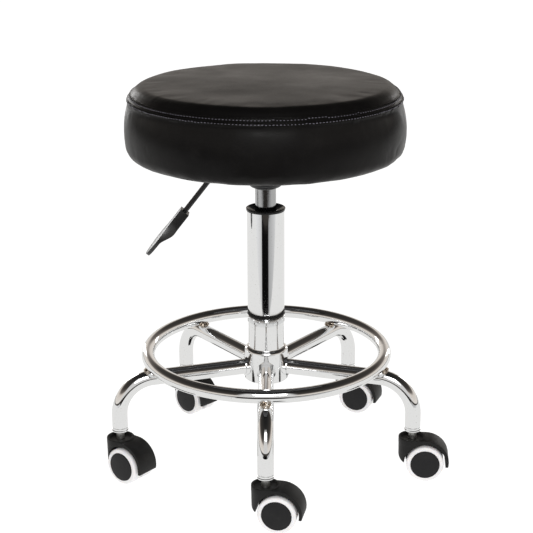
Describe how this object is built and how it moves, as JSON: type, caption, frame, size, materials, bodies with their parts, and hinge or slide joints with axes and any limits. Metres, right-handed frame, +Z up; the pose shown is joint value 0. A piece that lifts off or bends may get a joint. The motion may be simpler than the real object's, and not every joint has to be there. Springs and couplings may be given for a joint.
{
  "type": "rolling stylist stool",
  "caption": "Round padded stool on a chrome gas lift column with a foot ring, bent tube legs and twin wheel casters.",
  "frame": {"origin": "on the column's axis, at the floor that the wheels stand on", "axes": "+Z up along the column, leg 1 points along -Y, the height lever along -X"},
  "size_m": [0.4628, 0.4212, 0.529],
  "materials": {
    "chrome": "bright chrome plate over steel, mirror polished",
    "gas_steel": "ground and grey plated steel, satin",
    "zinc_steel": "zinc plated steel, dull",
    "black_steel": "black powder coat, satin",
    "weld": "heat tinted weld under clear plate",
    "hood_plastic": "moulded black nylon, fine texture",
    "cap_plastic": "moulded black nylon, satin",
    "bush_plastic": "moulded black acetal, glossy",
    "paddle_plastic": "moulded black plastic, satin",
    "tyre": "off-white polyurethane tread",
    "leather": "black artificial leather, satin, fine grain",
    "foam": "cut polyurethane foam",
    "cloth": "black non-woven dust cloth",
    "plywood": "birch plywood, raw"
  },
  "bodies": {
    "base": {"hub": "chrome", "hub_collar": "chrome", "column_ring": "bush_plastic", "column_tube": "chrome", "guide_bush": "bush_plastic", "leg_1": "chrome", "leg_2": "chrome", "leg_3": "chrome", "leg_4": "chrome", "leg_5": "chrome", "foot_ring": "chrome", "ring_welds": "weld", "stem_sockets": "chrome", "caster_stems": "zinc_steel"},
    "rod": {"piston_rod": "gas_steel", "thrust_bearing": "zinc_steel", "rod_clip": "zinc_steel"},
    "seat": {"gas_cylinder": "gas_steel", "taper_socket": "black_steel", "mount_plate": "black_steel", "pivot_pin": "zinc_steel", "plate_screws": "zinc_steel", "tee_nuts": "zinc_steel", "seat_board": "plywood", "seat_foam": "foam", "seat_cover": "leather", "dust_cloth": "cloth"},
    "lever": {"lever_rod": "black_steel", "lever_grip": "paddle_plastic"},
    "valve": {"valve_pin": "zinc_steel"},
    "caster_1": {"caster_1_hood": "hood_plastic", "caster_1_axle": "zinc_steel"},
    "wheel_1a": {"caster_1_wheel_a": "cap_plastic", "caster_1_tyre_a": "tyre"},
    "wheel_1b": {"caster_1_wheel_b": "cap_plastic", "caster_1_tyre_b": "tyre"},
    "caster_2": {"caster_2_hood": "hood_plastic", "caster_2_axle": "zinc_steel"},
    "wheel_2a": {"caster_2_wheel_a": "cap_plastic", "caster_2_tyre_a": "tyre"},
    "wheel_2b": {"caster_2_wheel_b": "cap_plastic", "caster_2_tyre_b": "tyre"},
    "caster_3": {"caster_3_hood": "hood_plastic", "caster_3_axle": "zinc_steel"},
    "wheel_3a": {"caster_3_wheel_a": "cap_plastic", "caster_3_tyre_a": "tyre"},
    "wheel_3b": {"caster_3_wheel_b": "cap_plastic", "caster_3_tyre_b": "tyre"},
    "caster_4": {"caster_4_hood": "hood_plastic", "caster_4_axle": "zinc_steel"},
    "wheel_4a": {"caster_4_wheel_a": "cap_plastic", "caster_4_tyre_a": "tyre"},
    "wheel_4b": {"caster_4_wheel_b": "cap_plastic", "caster_4_tyre_b": "tyre"},
    "caster_5": {"caster_5_hood": "hood_plastic", "caster_5_axle": "zinc_steel"},
    "wheel_5a": {"caster_5_wheel_a": "cap_plastic", "caster_5_tyre_a": "tyre"},
    "wheel_5b": {"caster_5_wheel_b": "cap_plastic", "caster_5_tyre_b": "tyre"}
  },
  "joints": [
    {"name": "seat_swivel", "type": "hinge", "parent": "base", "child": "rod", "pos_m": [0, 0, 0.13], "axis": [0, 0, 1], "continuous": true},
    {"name": "seat_lift", "type": "slide", "parent": "rod", "child": "seat", "axis": [0, 0, 1], "range_m": [0, 0.12]},
    {"name": "lever_tilt", "type": "hinge", "parent": "seat", "child": "lever", "pos_m": [-0.03, 0, 0.422], "axis": [0, 1, 0], "range_deg": [0, 6], "stiffness_Nm_per_rad": 2},
    {"name": "valve_press", "type": "slide", "parent": "seat", "child": "valve", "axis": [0, 0, -1], "range_m": [0, 0.0034]},
    {"name": "caster_1_swivel", "type": "hinge", "parent": "base", "child": "caster_1", "pos_m": [0, -0.207, 0.053], "axis": [0, 0, 1], "continuous": true},
    {"name": "wheel_1a_roll", "type": "hinge", "parent": "caster_1", "child": "wheel_1a", "pos_m": [0.01712, -0.21064, 0.025], "axis": [0.2079, 0.9781, 0], "continuous": true},
    {"name": "wheel_1b_roll", "type": "hinge", "parent": "caster_1", "child": "wheel_1b", "pos_m": [0.01712, -0.21064, 0.025], "axis": [0.2079, 0.9781, 0], "continuous": true},
    {"name": "caster_2_swivel", "type": "hinge", "parent": "base", "child": "caster_2", "pos_m": [0.19687, -0.06397, 0.053], "axis": [0, 0, 1], "continuous": true},
    {"name": "wheel_2a_roll", "type": "hinge", "parent": "caster_2", "child": "wheel_2a", "pos_m": [0.21433, -0.06519, 0.025], "axis": [0.0698, 0.9976, 0], "continuous": true},
    {"name": "wheel_2b_roll", "type": "hinge", "parent": "caster_2", "child": "wheel_2b", "pos_m": [0.21433, -0.06519, 0.025], "axis": [0.0698, 0.9976, 0], "continuous": true},
    {"name": "caster_3_swivel", "type": "hinge", "parent": "base", "child": "caster_3", "pos_m": [0.12167, 0.16747, 0.053], "axis": [0, 0, 1], "continuous": true},
    {"name": "wheel_3a_roll", "type": "hinge", "parent": "caster_3", "child": "wheel_3a", "pos_m": [0.13801, 0.1612, 0.025], "axis": [0.3584, 0.9336, 0], "continuous": true},
    {"name": "wheel_3b_roll", "type": "hinge", "parent": "caster_3", "child": "wheel_3b", "pos_m": [0.13801, 0.1612, 0.025], "axis": [0.3584, 0.9336, 0], "continuous": true},
    {"name": "caster_4_swivel", "type": "hinge", "parent": "base", "child": "caster_4", "pos_m": [-0.12167, 0.16747, 0.053], "axis": [0, 0, 1], "continuous": true},
    {"name": "wheel_4a_roll", "type": "hinge", "parent": "caster_4", "child": "wheel_4a", "pos_m": [-0.10887, 0.15553, 0.025], "axis": [0.682, 0.7314, 0], "continuous": true},
    {"name": "wheel_4b_roll", "type": "hinge", "parent": "caster_4", "child": "wheel_4b", "pos_m": [-0.10887, 0.15553, 0.025], "axis": [0.682, 0.7314, 0], "continuous": true},
    {"name": "caster_5_swivel", "type": "hinge", "parent": "base", "child": "caster_5", "pos_m": [-0.19687, -0.06397, 0.053], "axis": [0, 0, 1], "continuous": true},
    {"name": "wheel_5a_roll", "type": "hinge", "parent": "caster_5", "child": "wheel_5a", "pos_m": [-0.18308, -0.07474, 0.025], "axis": [0.6157, 0.788, 0], "continuous": true},
    {"name": "wheel_5b_roll", "type": "hinge", "parent": "caster_5", "child": "wheel_5b", "pos_m": [-0.18308, -0.07474, 0.025], "axis": [0.6157, 0.788, 0], "continuous": true}
  ],
  "couplings": [
    {"joint": "valve_press", "follows": "lever_tilt", "m_per_rad": 0.03}
  ]
}
